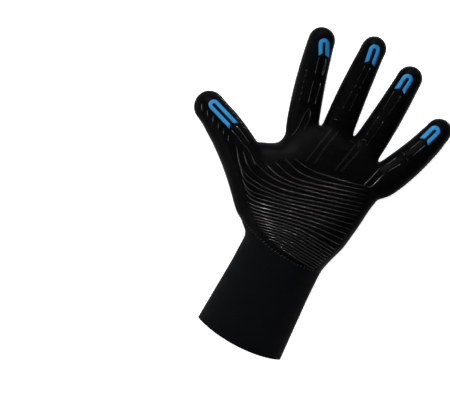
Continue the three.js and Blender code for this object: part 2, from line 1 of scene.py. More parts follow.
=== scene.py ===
"""A left-hand neoprene diving glove, lying on its back with the palm up, seen from straight above."""
import math

import bmesh
import bpy
from mathutils import Matrix, Vector
from mathutils.bvhtree import BVHTree


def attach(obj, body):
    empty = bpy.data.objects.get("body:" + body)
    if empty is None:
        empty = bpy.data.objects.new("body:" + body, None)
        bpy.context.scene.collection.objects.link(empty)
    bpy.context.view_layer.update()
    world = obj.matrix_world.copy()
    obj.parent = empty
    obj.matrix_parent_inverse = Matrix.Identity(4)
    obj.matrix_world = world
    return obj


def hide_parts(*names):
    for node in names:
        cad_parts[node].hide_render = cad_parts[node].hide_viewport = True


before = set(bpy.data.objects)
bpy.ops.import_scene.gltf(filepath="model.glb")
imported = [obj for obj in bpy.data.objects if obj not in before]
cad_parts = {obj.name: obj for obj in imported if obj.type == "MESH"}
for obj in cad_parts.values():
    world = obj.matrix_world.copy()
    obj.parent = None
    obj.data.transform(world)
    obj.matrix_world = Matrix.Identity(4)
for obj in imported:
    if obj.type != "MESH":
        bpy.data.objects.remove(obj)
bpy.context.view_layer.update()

# Sizes, in millimetres and degrees as in the part's source.
# There Y = 0 is the wrist and Z = 0 the floor. SHIFT is where that point lies in the model's frame.
SHIFT = Vector((22.318, -56.986, 0))
MM = 0.001

WALL = 3
CUFF_LENGTH = 89.5
CUFF_WIDTH = 81
CUFF_DEPTH = 52
CUFF_BULGE = 5
CUFF_LEAN = 0.8
WRIST_WIDTH = 73
WRIST_DEPTH = 45
PALM_LENGTH = 105
PALM_WIDTH = 97
PALM_DEPTH = 38
KNUCKLE_DEPTH = 29
PALM_CUP = 3.5
WEB_REACH = 18
FINGER_CURL = 9
DIGIT_FLATNESS = 0.88  # depth of a finger as a share of its width
ROUNDNESS = 2.2  # exponent of the hand's sections, 2 for an ellipse
CUFF_SINK = 0.018  # how far the back lies below its ellipse, as a share of the cuff's depth
HAND_SINK = 0.05  # the same for the hand, as a share of the palm's depth
CLOSED_END = 0.6  # how much of its back the hand loses where its closed end lies between the fingers

# Shape of the digits: root as shares of the palm's width and length, then lengths, widths and headings.
DIGIT_COLUMNS = ("root_x", "root_y", "length", "root_width", "tip_width", "lean", "turn")
DIGIT_ROWS = {
    "thumb": (-0.3, 0.142, 125, 41.5, 28.2, -37, -33),
    "index": (-0.31, 0.86, 103.5, 28.8, 24.2, -20, 11),
    "middle": (-0.035, 0.88, 111.5, 28.6, 22.4, -7, 7),
    "ring": (0.213, 0.86, 105, 28.8, 22.8, 9, -8),
    "little": (0.448, 0.8, 88.5, 30, 23, 32.5, -22),
}
DIGITS = {name: dict(zip(DIGIT_COLUMNS, row)) for name, row in DIGIT_ROWS.items()}

# Girth of a digit: share of its length, taper from root to tip, share of the full depth.
GIRTHS = ((0, 1, 0.68), (0.13, 0, 0.78), (0.25, 0.25, 0.87), (0.4, 0.48, 0.96), (0.58, 0.7, 1),
          (0.74, 0.88, 1))

# Cuff: share of its length below the wrist, flare from the wrist's size to the cuff's.
CUFF_ROWS = ((1.1, 1.08), (0.62, 0.5), (0.3, 0.12), (0, 0))

# Hand: share of the palm's length, half widths left and right, share of the web, depth, hollow, closed end.
HAND_ROWS = (
    (0.025, 0.42, 0.388, 0, 1.16, 0, 0),
    (0.09, 0.49, 0.405, 0, 1.12, 0, 0),
    (0.24, 0.53, 0.462, 0.1, 1.06, 0.35, 0),
    (0.45, 0.53, 0.5, 0.5, 1, 1, 0),
    (0.62, 0.515, 0.52, 0.85, 0.95, 1, 0),
    (0.7, 0.515, 0.538, 0.95, 0.9, 0.8, 0),
    (0.727, 0.505, 0.545, 0.62, 0.89, 0.7, 0),
    (0.752, 0.49, 0.55, 0.2, 0.88, 0.55, 0),
    (0.79, 0.48, 0.555, 0, 0.86, 0.4, 0),
    (0.85, 0.467, 0.56, 0, 0.82, 0.2, 0),
    (0.98, 0.46, 0.47, 0, 0.74, 0, 0.2),
    (1.05, 0.42, 0.34, 0, 0.56, 0, 0.7),
    (1.085, 0.36, 0.2, 0, 0.3, 0, 1),
)


def mix(a, b, share):
    return a + (b - a) * share


def along(rows, x, column=1):
    """The value at x of the straight pieces through rows, whose first column is x."""
    if x <= rows[0][0]:
        return rows[0][column]
    for low, high in zip(rows, rows[1:]):
        if x <= high[0]:
            return mix(low[column], high[column], (x - low[0]) / (high[0] - low[0]))
    return rows[-1][column]


def smooth_along(rows, x, column=1, reach=0.03):
    """The same value, rounded off at the rows."""
    return sum(along(rows, x + reach * k, column) for k in (-2, -1, 0, 1, 2)) / 5


LONGEST = max(digit["length"] for digit in DIGITS.values())
# Side seam: Y, then its height above the floor.
SEAM_HEIGHTS = (
    (-CUFF_LENGTH, CUFF_DEPTH / 2),
    (-0.3 * CUFF_LENGTH, WRIST_DEPTH / 2),
    (0.1 * PALM_LENGTH, WRIST_DEPTH / 2),
    (0.55 * PALM_LENGTH, PALM_DEPTH / 2),
    (PALM_LENGTH, KNUCKLE_DEPTH / 2),
    (PALM_LENGTH + 0.35 * LONGEST, KNUCKLE_DEPTH / 2 + 0.12 * FINGER_CURL),
    (PALM_LENGTH + 0.65 * LONGEST, KNUCKLE_DEPTH / 2 + 0.55 * FINGER_CURL),
    (PALM_LENGTH + 0.95 * LONGEST, KNUCKLE_DEPTH / 2 + 1.1 * FINGER_CURL),
)


def seam_height(y):
    """Height of the side seam, where the palm side meets the back."""
    return smooth_along(SEAM_HEIGHTS, y, reach=4)


# Seam across the wrist: its lowest place, how far down that is and its bow, as shares of the wrist's width.
WRIST_SEAM_LOW_X = 0.16
WRIST_SEAM_DROP = 0.063
WRIST_SEAM_BOW = 0.29


def wrist_seam(x):
    """Y of the seam across the wrist."""
    share = x / WRIST_WIDTH - WRIST_SEAM_LOW_X
    return WRIST_WIDTH * (WRIST_SEAM_BOW * share * share - WRIST_SEAM_DROP)


def cuff_edge(x):
    """Y of the cuff's cut edge."""
    return -CUFF_LENGTH + CUFF_BULGE * (2 * x / CUFF_WIDTH) ** 2


DIGIT_STRIDES = 24


def digit_spot(digit, share):
    """A point of a digit's middle line and the heading there, in radians."""
    spot = Vector((digit["root_x"] * PALM_WIDTH, digit["root_y"] * PALM_LENGTH))
    stride = share * digit["length"] / DIGIT_STRIDES
    for k in range(DIGIT_STRIDES):
        heading = math.radians(digit["lean"] + digit["turn"] * share * (k + 0.5) / DIGIT_STRIDES)
        spot += stride * Vector((math.sin(heading), math.cos(heading)))
    return spot, math.radians(digit["lean"] + digit["turn"] * share)


def digit_point(digit, share, aside):
    """A point some millimetres to one side of a digit's middle line."""
    spot, heading = digit_spot(digit, share)
    return spot + aside * Vector((math.cos(heading), -math.sin(heading)))


# Building with bmesh

def new_piece(name, bm, *materials):
    """An object at the origin from a bmesh in millimetres of the source's frame."""
    bmesh.ops.translate(bm, verts=bm.verts, vec=SHIFT)
    bmesh.ops.scale(bm, verts=bm.verts, vec=(MM, MM, MM))
    mesh = bpy.data.meshes.new(name)
    bm.to_mesh(mesh)
    bm.free()
    piece = bpy.data.objects.new(name, mesh)
    bpy.context.scene.collection.objects.link(piece)
    for material in materials:
        mesh.materials.append(material)
    for face in mesh.polygons:
        face.use_smooth = True
    return piece


def add_loft(bm, sections):
    """A closed form through sections, each a list of points on a ring with the same number of points."""
    rings = []
    for points in sections:
        ring = bmesh.ops.create_circle(bm, segments=len(points), radius=1)["verts"]
        for vert, point in zip(ring, points):
            vert.co = point
        rings.append(ring)
    for low, high in zip(rings, rings[1:]):
        edges = ring_edges(low) + ring_edges(high)
        bmesh.ops.bridge_loops(bm, edges=edges)
    for ring in (rings[0], rings[-1]):
        bmesh.ops.contextual_create(bm, geom=ring_edges(ring))


def ring_edges(ring):
    """The edges that join the vertices of a ring."""
    members = set(ring)
    return [edge for edge in {e for v in ring for e in v.link_edges} if set(edge.verts) <= members]


def fuller(wave):
    """A sine or cosine made fuller, for a section between an ellipse and a rectangle."""
    return math.copysign(abs(wave) ** (2 / ROUNDNESS), wave)


BODY_SIDES = 72
BODY_STEP = 3


def body_section(y, left, right, palm_side, cup, sink):
    """A ring of the hand or cuff: half widths, height and hollow of the palm side, and sink of the back."""
    points = []
    for k in range(BODY_SIDES):
        angle = 2 * math.pi * k / BODY_SIDES
        c = fuller(math.cos(angle))
        s = fuller(math.sin(angle))
        rise = palm_side if s > 0 else seam_height(y) + sink
        hollow = cup * s * (1 - c * c) ** 2 if s > 0 else 0
        z = max(0, seam_height(y) + s * rise - hollow)
        points.append(Vector((c * (left if c < 0 else right), y, z)))
    return points


def body_sections():
    """The rows of the cuff and the hand, with their values spread evenly between them."""
    rows = []
    for at, flare in CUFF_ROWS:
        half = mix(WRIST_WIDTH, CUFF_WIDTH, flare) / 2
        lean = CUFF_LEAN * flare
        deep = mix(WRIST_DEPTH, CUFF_DEPTH, flare) / 2
        rows.append((-at * CUFF_LENGTH, half + lean, half - lean, deep, 0, CUFF_SINK * CUFF_DEPTH))
    for at, left, right, web, deep, cup, front in HAND_ROWS:
        y = at * PALM_LENGTH
        sink = HAND_SINK * PALM_DEPTH - front * CLOSED_END * seam_height(y)
        rows.append((y, left * PALM_WIDTH + web * WEB_REACH, right * PALM_WIDTH,
                     deep * PALM_DEPTH / 2, cup * PALM_CUP, sink))
    sections = []
    y = rows[0][0]
    while y <= rows[-1][0]:
        values = [smooth_along(rows, y, column, reach=1.2) for column in range(1, 6)]
        sections.append(body_section(y, *values))
        y += BODY_STEP
    return sections


DIGIT_SIDES = 40
DIGIT_RINGS = 26
TIP_RINGS = 11
TIP_DIVISIONS = 10.6  # a little more than the last ring's number, so that it isn't a point
FULL_FROM = 0.74  # the share of a digit's length from which it takes on the tip's width
FULL_WITHIN = 0.1


def digit_section(digit, share, half):
    """A ring of a digit, square to its middle line."""
    spot, heading = digit_spot(digit, share)
    across = Vector((math.cos(heading), -math.sin(heading), 0))
    deep = DIGIT_FLATNESS * smooth_along(GIRTHS, share, column=2)
    points = []
    for k in range(DIGIT_SIDES):
        angle = 2 * math.pi * (k + 0.5) / DIGIT_SIDES
        point = Vector((spot.x, spot.y, seam_height(spot.y)))
        point += half * math.cos(angle) * across
        point.z += half * deep * math.sin(angle)
        points.append(point)
    return points


def half_width(digit, share):
    taper = smooth_along(GIRTHS, share)
    if share > FULL_FROM:
        taper = mix(taper, 1, min(1, (share - FULL_FROM) / FULL_WITHIN))
    return mix(digit["root_width"], digit["tip_width"], taper * taper) / 2


def digit_sections(digit):
    """The rings of a digit from its root to its round tip."""
    radius = digit["tip_width"] / 2
    round_from = 1 - radius / digit["length"]
    sections = []
    for k in range(DIGIT_RINGS):
        share = round_from * k / DIGIT_RINGS
        sections.append(digit_section(digit, share, half_width(digit, share)))
    for k in range(TIP_RINGS):
        angle = math.pi / 2 * k / TIP_DIVISIONS
        share = round_from + radius * math.sin(angle) / digit["length"]
        sections.append(digit_section(digit, share, radius * math.cos(angle)))
    return sections


def remeshed(obj, size, rounds):
    """A bmesh of the object after a voxel remesh that joins its forms, smoothed."""
    modifier = obj.modifiers.new("join", "REMESH")
    modifier.mode = "VOXEL"
    modifier.voxel_size = size
    depsgraph = bpy.context.evaluated_depsgraph_get()
    bm = bmesh.new()
    bm.from_mesh(obj.evaluated_get(depsgraph).to_mesh())
    bpy.data.objects.remove(obj)
    for _ in range(rounds):
        bmesh.ops.smooth_vert(bm, verts=bm.verts, factor=0.5, use_axis_x=True, use_axis_y=True,
                              use_axis_z=True)
    return bm


VOXEL = 1.25 * MM
SMOOTHING = 9


def whole_skin():
    """The outside of the whole glove in millimetres of the source's frame, open at the cuff."""
    bm = bmesh.new()
    add_loft(bm, body_sections())
    for digit in DIGITS.values():
        add_loft(bm, digit_sections(digit))
    bmesh.ops.recalc_face_normals(bm, faces=bm.faces)
    bm = remeshed(new_piece("glove_form", bm), VOXEL, SMOOTHING)
    bmesh.ops.scale(bm, verts=bm.verts, vec=(1 / MM, 1 / MM, 1 / MM))
    bmesh.ops.translate(bm, verts=bm.verts, vec=-SHIFT)
    level_palm(bm)
    # Bent so that the cuff's bowed edge becomes straight, cut, and bent back.
    cut_along(bm, "y", lambda v: cuff_edge(v.x), clear_below=True)
    return bm


PALM_ROUNDS = 110
PALM_LEVEL_TO = 1.16  # share of the palm's length up to which the palm side is evened out
FACES_UP = 0.3  # least upward part of the normal of a vertex that counts as the palm's side


def level_palm(bm):
    """Evens out the hollows between the thumb, the palm and the roots of the fingers on the palm's side."""
    bm.normal_update()
    inner = [v for v in bm.verts if 0 < v.co.y < PALM_LEVEL_TO * PALM_LENGTH and v.normal.z > FACES_UP]
    for _ in range(PALM_ROUNDS):
        bmesh.ops.smooth_vert(bm, verts=inner, factor=0.5, use_axis_z=True)


CUT_TOLERANCE = 0.05
CUT_GUESSES = 6


def cut_along(bm, axis, line, clear_below=False):
    """Cuts the mesh along a bent surface that is level in one axis, and keeps both sides or the upper one."""
    index = "xyz".index(axis)
    offsets = {vert: line(vert.co) for vert in bm.verts}
    for vert, offset in offsets.items():
        vert.co[index] -= offset
    normal = Vector((0, 0, 0))
    normal[index] = 1
    bmesh.ops.bisect_plane(bm, geom=bm.verts[:] + bm.edges[:] + bm.faces[:], dist=CUT_TOLERANCE,
                           plane_co=(0, 0, 0), plane_no=normal, clear_inner=clear_below)
    for vert in bm.verts:
        vert.co[index] += line_back(vert.co, index, line)


def line_back(co, index, line):
    """The offset that was taken from a point, found again by repeated guesses."""
    offset = 0
    for _ in range(CUT_GUESSES):
        guess = co.copy()
        guess[index] += offset
        offset = line(guess)
    return offset


# Materials

def srgb(code):
    """A linear colour from an sRGB hex code."""
    channels = [int(code[k:k + 2], 16) / 255 for k in (1, 3, 5)]
    return [c / 12.92 if c <= 0.04045 else ((c + 0.055) / 1.055) ** 2.4 for c in channels] + [1]


def new_material(name, **settings):
    """A material with its Principled shader, and the tree to add nodes to."""
    material = bpy.data.materials.new(name)
    material.use_nodes = True
    tree = material.node_tree
    shader = tree.nodes["Principled BSDF"]
    for socket, value in settings.items():
        shader.inputs[socket.replace("_", " ")].default_value = value
    return material, tree, shader


def add_node(tree, kind, links=(), **settings):
    """A node with its settings. Each link is (input, node, output) or (input, value)."""
    node = tree.nodes.new(kind)
    for key, value in settings.items():
        setattr(node, key, value)
    for link in links:
        if len(link) == 2:
            node.inputs[link[0]].default_value = link[1]
        else:
            tree.links.new(link[1].outputs[link[2]], node.inputs[link[0]])
    return node


def jersey_neoprene():
    """Nylon jersey on foamed neoprene: a matt charcoal knit with a faint sheen and fine wales."""
    material, tree, shader = new_material(
        "neoprene_nylon_jersey", Roughness=0.85, Specular_IOR_Level=0.05, Sheen_Weight=0.02,
        Sheen_Roughness=0.5)
    shader.inputs["Sheen Tint"].default_value = srgb("#8C949E")
    place = add_node(tree, "ShaderNodeTexCoord")
    # Wales of the knit, drawn 1.4 mm apart, wider than the real ones, so that they just show.
    wales = add_node(tree, "ShaderNodeTexWave", [("Vector", place, "Object"), ("Scale", 220),
                                                 ("Distortion", 1.5), ("Detail", 2)],
                     bands_direction="X")
    courses = add_node(tree, "ShaderNodeTexWave", [("Vector", place, "Object"), ("Scale", 300),
                                                   ("Distortion", 2), ("Detail", 2)],
                       bands_direction="Y")
    knit = add_node(tree, "ShaderNodeMath", [(0, wales, "Fac"), (1, courses, "Fac")],
                    operation="MULTIPLY")
    # Slow changes of tone over some 25 mm, where the foam under the knit is pressed.
    tone = add_node(tree, "ShaderNodeTexNoise", [("Vector", place, "Object"), ("Scale", 38),
                                                 ("Detail", 4), ("Roughness", 0.6)])
    colour = add_node(tree, "ShaderNodeMix", [("Factor", tone, "Fac"), (6, srgb("#050607")),
                                              (7, srgb("#090B0D"))], data_type="RGBA")
    # Fold lines are rubbed paler, and not evenly so.
    fold = add_node(tree, "ShaderNodeAttribute", attribute_name="fold")
    rubbed = add_node(tree, "ShaderNodeMath", [(0, fold, "Fac"), (1, tone, "Fac")], operation="MULTIPLY")
    worn = add_node(tree, "ShaderNodeMix", [("Factor", rubbed, "Value"), (6, colour, 2),
                                            (7, srgb("#2E3134"))], data_type="RGBA")
    tree.links.new(worn.outputs[2], shader.inputs["Base Color"])
    wavy = add_node(tree, "ShaderNodeTexNoise", [("Vector", place, "Object"), ("Scale", 90),
                                                 ("Detail", 3)])
    low_bump = add_node(tree, "ShaderNodeBump", [("Height", wavy, "Fac"), ("Strength", 0.25),
                                                 ("Distance", 0.0012)])
    bump = add_node(tree, "ShaderNodeBump", [("Height", knit, "Value"), ("Strength", 0.5),
                                             ("Distance", 0.00025), ("Normal", low_bump, "Normal")])
    tree.links.new(bump.outputs["Normal"], shader.inputs["Normal"])
    return material


def coated_neoprene():
    """Neoprene with a thin rubbery coat: near black, half matt, with a fine even grain."""
    material, tree, shader = new_material(
        "neoprene_fine_coat", Roughness=0.4, Specular_IOR_Level=0.02)
    place = add_node(tree, "ShaderNodeTexCoord")
    tone = add_node(tree, "ShaderNodeTexNoise", [("Vector", place, "Object"), ("Scale", 45),
                                                 ("Detail", 4)])
    colour = add_node(tree, "ShaderNodeMix", [("Factor", tone, "Fac"), (6, srgb("#040405")),
                                              (7, srgb("#080909"))], data_type="RGBA")
    tree.links.new(colour.outputs[2], shader.inputs["Base Color"])
    gloss = add_node(tree, "ShaderNodeMapRange", [("Value", tone, "Fac"), ("From Min", 0.3),
                                                  ("From Max", 0.7), ("To Min", 0.36), ("To Max", 0.46)])
    tree.links.new(gloss.outputs["Result"], shader.inputs["Roughness"])
    # Grain of 0.8 mm.
    grain = add_node(tree, "ShaderNodeTexNoise", [("Vector", place, "Object"), ("Scale", 1200),
                                                  ("Detail", 2)])
    wavy = add_node(tree, "ShaderNodeTexNoise", [("Vector", place, "Object"), ("Scale", 90),
                                                 ("Detail", 3)])
    low_bump = add_node(tree, "ShaderNodeBump", [("Height", wavy, "Fac"), ("Strength", 0.25),
                                                 ("Distance", 0.0012)])
    bump = add_node(tree, "ShaderNodeBump", [("Height", grain, "Fac"), ("Strength", 0.3),
                                             ("Distance", 0.00015), ("Normal", low_bump, "Normal")])
    tree.links.new(bump.outputs["Normal"], shader.inputs["Normal"])
    return material


def printed_rubber(name, dark, light, roughness, coat, level):
    """Screen-printed silicone rubber: cured with a wet-looking skin that is never quite level."""
    material, tree, shader = new_material(
        name, Roughness=roughness, Specular_IOR_Level=level, Coat_Weight=coat, Coat_Roughness=0.16)
    place = add_node(tree, "ShaderNodeTexCoord")
    tone = add_node(tree, "ShaderNodeTexNoise", [("Vector", place, "Object"), ("Scale", 120),
                                                 ("Detail", 3)])
    colour = add_node(tree, "ShaderNodeMix", [("Factor", tone, "Fac"), (6, srgb(dark)),
                                              (7, srgb(light))], data_type="RGBA")
    tree.links.new(colour.outputs[2], shader.inputs["Base Color"])
    bump = add_node(tree, "ShaderNodeBump", [("Height", tone, "Fac"), ("Strength", 0.3),
                                             ("Distance", 0.0004)])
    tree.links.new(bump.outputs["Normal"], shader.inputs["Normal"])
    return material


def cut_foam():
    """The raw cut edge of foamed neoprene: black sponge with fine closed cells."""
    material, tree, shader = new_material("neoprene_cut_foam", Roughness=0.9)
    place = add_node(tree, "ShaderNodeTexCoord")
    cells = add_node(tree, "ShaderNodeTexVoronoi", [("Vector", place, "Object"), ("Scale", 1500)])
    colour = add_node(tree, "ShaderNodeMix", [("Factor", cells, "Distance"), (6, srgb("#0B0B0C")),
                                              (7, srgb("#242526"))], data_type="RGBA")
    tree.links.new(colour.outputs[2], shader.inputs["Base Color"])
    bump = add_node(tree, "ShaderNodeBump", [("Height", cells, "Distance"), ("Strength", 0.6),
                                             ("Distance", 0.0004)])
    tree.links.new(bump.outputs["Normal"], shader.inputs["Normal"])
    return material


def nylon_thread():
    """Twisted nylon sewing thread, dark grey with a slight lustre."""
    material, tree, shader = new_material("nylon_thread", Roughness=0.55)
    place = add_node(tree, "ShaderNodeTexCoord")
    twist = add_node(tree, "ShaderNodeTexWave", [("Vector", place, "Object"), ("Scale", 900)],
                     bands_direction="DIAGONAL")
    colour = add_node(tree, "ShaderNodeMix", [("Factor", twist, "Fac"), (6, srgb("#16181B")),
                                              (7, srgb("#2C2F33"))], data_type="RGBA")
    tree.links.new(colour.outputs[2], shader.inputs["Base Color"])
    return material


JERSEY = jersey_neoprene()
COATED = coated_neoprene()
GRIP = printed_rubber("silicone_grip_black", "#050506", "#0B0B0C", 0.25, 1, 0.2)
THIN_GRIP = printed_rubber("silicone_grip_thin", "#060607", "#0B0B0C", 0.5, 0, 0.1)
BLUE = printed_rubber("silicone_print_blue", "#1A80BF", "#2490CC", 0.5, 0, 0.2)
WHITE = printed_rubber("silicone_print_pale_grey", "#C9CBC9", "#DEDFDC", 0.5, 0, 0.4)
FOAM = cut_foam()
THREAD = nylon_thread()

# Neoprene skin in four panels

# Seam across the knuckles: place, sag in its middle and rise at its left end, as shares of the palm's length.
KNUCKLE_SHARE = 0.92
KNUCKLE_SAG = 0.04
KNUCKLE_TILT = 0.02


def between(one, other, share):
    """The place halfway between two digits' middle lines."""
    return (digit_spot(DIGITS[one], share)[0] + digit_spot(DIGITS[other], share)[0]) / 2


KNUCKLE_LEFT = between("index", "middle", 0.1)
KNUCKLE_RIGHT = between("ring", "little", 0.1)


def knuckle_seam(x):
    """Y of the seam under the backs of the middle and ring fingers, which sags between them."""
    share = min(1, max(0, (x - KNUCKLE_LEFT.x) / (KNUCKLE_RIGHT.x - KNUCKLE_LEFT.x)))
    sag = KNUCKLE_SAG * PALM_LENGTH * (1 - (2 * share - 1) ** 2)
    return KNUCKLE_SHARE * PALM_LENGTH - sag + KNUCKLE_TILT * PALM_LENGTH * (1 - share)


def panel_of(point):
    """The panel that a point of the skin belongs to."""
    if point.z > seam_height(point.y):
        return "palm_panel" if point.y > wrist_seam(point.x) else "cuff_front"
    share = max(0, (point.y - PALM_LENGTH) / LONGEST)
    left = mix(KNUCKLE_LEFT.x, between("index", "middle", 1.0).x, min(1, share))
    right = mix(KNUCKLE_RIGHT.x, between("ring", "little", 1.0).x, min(1, share))
    if point.y > knuckle_seam(point.x) and left < point.x < right:
        return "finger_back_panel"
    return "back_panel"


SEAM_DEPTH = 0.45
SLIVER = 0.02
skin = whole_skin()
cut_along(skin, "z", lambda v: seam_height(v.y))
cut_along(skin, "y", lambda v: wrist_seam(v.x))
cut_along(skin, "y", lambda v: knuckle_seam(v.x))
bmesh.ops.dissolve_degenerate(skin, dist=SLIVER, edges=skin.edges)
skin.normal_update()
surface = BVHTree.FromBMesh(skin)
owners = {face: panel_of(face.calc_center_median()) for face in skin.faces}
seam_edges = [e for e in skin.edges if len({owners[f] for f in e.link_faces}) > 1]
seam_verts = {vert for edge in seam_edges for vert in edge.verts}
for vert in seam_verts:
    vert.co -= vert.normal * SEAM_DEPTH

# Fold lines on the back, where the glove has lain flat: one down the middle and one along the index finger.
# Each is a row of spots, as shares of the palm's width and length.
FOLD_WIDTH = 1.2
FOLD_RISE = 0.3
FACES_DOWN = -0.3  # greatest upward part of the normal of a vertex that counts as the back
FOLDS = (
    ((-0.02, 0.9), (0, 0.45), (0.01, 0), (0, -0.35), (-0.006, -0.82)),
    ((-0.36, 0.98), (-0.42, 1.18), (-0.475, 1.4)),
)


def distance_to(line, spot):
    """Distance in plan from a spot to a row of points."""
    nearest = math.inf
    for start, end in zip(line, line[1:]):
        way = end - start
        share = min(1, max(0, (spot - start).dot(way) / way.length_squared))
        nearest = min(nearest, (start + way * share - spot).length)
    return nearest


folded = skin.verts.layers.float.new("fold")
fold_lines = [[Vector((x * PALM_WIDTH, y * PALM_LENGTH)) for x, y in fold] for fold in FOLDS]
for vert in skin.verts:
    if vert.normal.z > FACES_DOWN:
        continue
    spot = vert.co.xy
    sharpness = max(0, 1 - min(distance_to(line, spot) for line in fold_lines) / FOLD_WIDTH)
    vert[folded] = sharpness
    vert.co += vert.normal * (FOLD_RISE * sharpness)

# Each panel: its material, the name of its slot, and the CAD nodes that it stands for.
PANELS = {
    "palm_panel": (COATED, "coated_neoprene", ("palm_panel", "thumb_front", "index_front", "middle_front",
                                               "ring_front", "little_front")),
    "cuff_front": (JERSEY, "neoprene", ("cuff_front",)),
    "back_panel": (JERSEY, "neoprene", ("back_panel", "cuff_back", "thumb_back", "index_back",
                                        "little_back")),
    "finger_back_panel": (JERSEY, "neoprene", ("finger_back_panel", "middle_back", "ring_back")),
}


def make_panel(name, material, nodes):
    """One panel of the skin with its wall."""
    part = skin.copy()
    part.faces.ensure_lookup_table()
    skin.faces.ensure_lookup_table()
    others = [part.faces[k] for k, face in enumerate(skin.faces) if owners[face] != name]
    bmesh.ops.delete(part, geom=others, context="FACES")
    panel = new_piece(name + "_neoprene", part, material, JERSEY, FOAM)
    wall = panel.modifiers.new("wall", "SOLIDIFY")
    wall.thickness = WALL * MM
    wall.offset = -1
    wall.use_rim = True
    wall.material_offset = 1
    wall.material_offset_rim = 2
    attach(panel, "root")
    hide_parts(*nodes)


for name, (material, slot, nodes) in PANELS.items():
    make_panel(name, material, nodes)

# Rubber prints

CLEAR_OF_SKIN = 120


def on_skin(point, palm_side):
    """The place on the skin above or below a point in plan, and the surface's direction there. Past the
    outline it is the nearest place."""
    start = Vector((point.x, point.y, CLEAR_OF_SKIN if palm_side else -CLEAR_OF_SKIN))
    way = Vector((0, 0, -1 if palm_side else 1))
    place, normal, _, _ = surface.ray_cast(start, way)
    if place is None:
        level = Vector((point.x, point.y, seam_height(point.y) + (1 if palm_side else -1)))
        place, normal, _, _ = surface.find_nearest(level)
    return place, normal


def polyline_point(points, distance):
    """The point at a distance along a polyline, and the direction there. It runs on past both ends."""
    for k, (start, end) in enumerate(zip(points, points[1:])):
        length = (end - start).length
        if distance <= length or k == len(points) - 2:
            way = (end - start) / length
            return start + way * distance, way
        distance -= length


def polyline_length(points):
    return sum((b - a).length for a, b in zip(points, points[1:]))


def smoothed(points, rounds=3):
    """A finer polyline with its corners cut."""
    for _ in range(rounds):
        finer = [points[0]]
        for a, b in zip(points, points[1:]):
            finer += [a.lerp(b, 0.25), a.lerp(b, 0.75)]
        points = finer + [points[-1]]
    return points


# Sections of a print: place across it from -1 to 1, and share of its height, below 0 where it is sunk.
RIDGE_PROFILE = ((-1, -0.5), (-0.92, 0.25), (-0.62, 0.72), (-0.25, 0.96), (0.25, 0.96), (0.62, 0.72),
                 (0.92, 0.25), (1, -0.5))
FLAT_PROFILE = ((-1, -0.6), (-0.97, 0.55), (-0.86, 0.95), (-0.3, 1), (0.3, 1), (0.86, 0.95),
                (0.97, 0.55), (1, -0.6))
SUNK = 0.35  # millimetres that a profile's -0.5 lies below the skin
LEAST_REACH = 0.02
TAPER_EXPONENT = 0.75


def end_reach(distance, taper):
    """How much of its breadth and height a strip has at a distance from an end that tapers off."""
    return min(1, max(LEAST_REACH, distance / taper) ** TAPER_EXPONENT) if taper else 1


def add_strip(bm, points, width, height, profile, palm_side=True, slants=(0, 0), step=1.1, tapers=(2, 2)):
    """A closed strip of print along a polyline in plan. width may depend on the share of the length, and
    slants say how much further its left side runs than its right, at the start and at the end."""
    total = polyline_length(points)
    count = max(2, round(total / step))
    rings = len(profile)
    made = bmesh.ops.create_grid(bm, x_segments=count, y_segments=rings, size=1)["verts"]
    for vert in made:
        share = (vert.co.x + 1) / 2
        index = round((vert.co.y + 1) / 2 * rings) % rings
        aside, rise = profile[index]
        start = -slants[0] * (0.5 - aside / 2)
        stop = total + slants[1] * (0.5 - aside / 2)
        distance = mix(start, stop, share)
        spot, way = polyline_point(points, distance)
        wide = width(share) if callable(width) else width
        reach = end_reach(share * total, tapers[0]) * end_reach((1 - share) * total, tapers[1])
        across = Vector((way.y, -way.x))
        place, normal = on_skin(spot + across * (aside * wide / 2 * reach), palm_side)
        lift = rise * height * reach if rise > 0 else rise * SUNK / 0.5
        vert.co = place + normal * lift
    bmesh.ops.remove_doubles(bm, verts=made, dist=1e-5)
    live = [vert for vert in made if vert.is_valid]
    edges = {edge for vert in live for edge in vert.link_edges if edge.is_boundary}
    bmesh.ops.holes_fill(bm, edges=list(edges), sides=rings)


def finish_print(name, bm, material, node):
    """The piece of a print, which stands for its node of the CAD model."""
    bmesh.ops.recalc_face_normals(bm, faces=bm.faces)
    piece = new_piece(name, bm, material)
    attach(piece, "root")
    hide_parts(node)


# Ribs of the palm: rib number, then five points from the thumb's side to the little finger's, as shares of
# the palm's width and length.
KEY_RIBS = (
    (0, -0.3, 0.718, -0.13, 0.695, 0.086, 0.721, 0.235, 0.748, 0.4, 0.79),
    (1, -0.367, 0.68, -0.206, 0.635, -0.05, 0.645, 0.14, 0.686, 0.42, 0.76),
    (2, -0.447, 0.626, -0.287, 0.578, -0.146, 0.583, 0.12, 0.643, 0.43, 0.72),
    (3, -0.497, 0.57, -0.342, 0.529, -0.16, 0.54, 0.12, 0.605, 0.43, 0.685),
    (4, -0.656, 0.585, -0.559, 0.531, -0.321, 0.491, 0.1, 0.565, 0.44, 0.648),
    (5, -0.74, 0.58, -0.571, 0.459, -0.3, 0.444, 0.1, 0.53, 0.44, 0.613),
    (6, -0.815, 0.6, -0.636, 0.428, -0.31, 0.398, 0.1, 0.495, 0.44, 0.577),
    (8, -0.63, 0.37, -0.5, 0.318, -0.21, 0.36, 0.1, 0.425, 0.44, 0.5),
    (11, -0.49, 0.225, -0.38, 0.228, -0.2, 0.267, 0.1, 0.323, 0.43, 0.36),
    (14, -0.4, 0.147, -0.28, 0.166, -0.1, 0.202, 0.1, 0.217, 0.4, 0.2),
    (17, -0.33, 0.09, -0.2, 0.117, -0.05, 0.137, 0.1, 0.137, 0.375, 0.118),
    (20, -0.24, 0.05, -0.12, 0.064, 0, 0.068, 0.12, 0.062, 0.35, 0.046),
    (23, -0.09, 0.012, 0.02, 0.003, 0.1, -0.003, 0.2, -0.01, 0.31, -0.016),
)
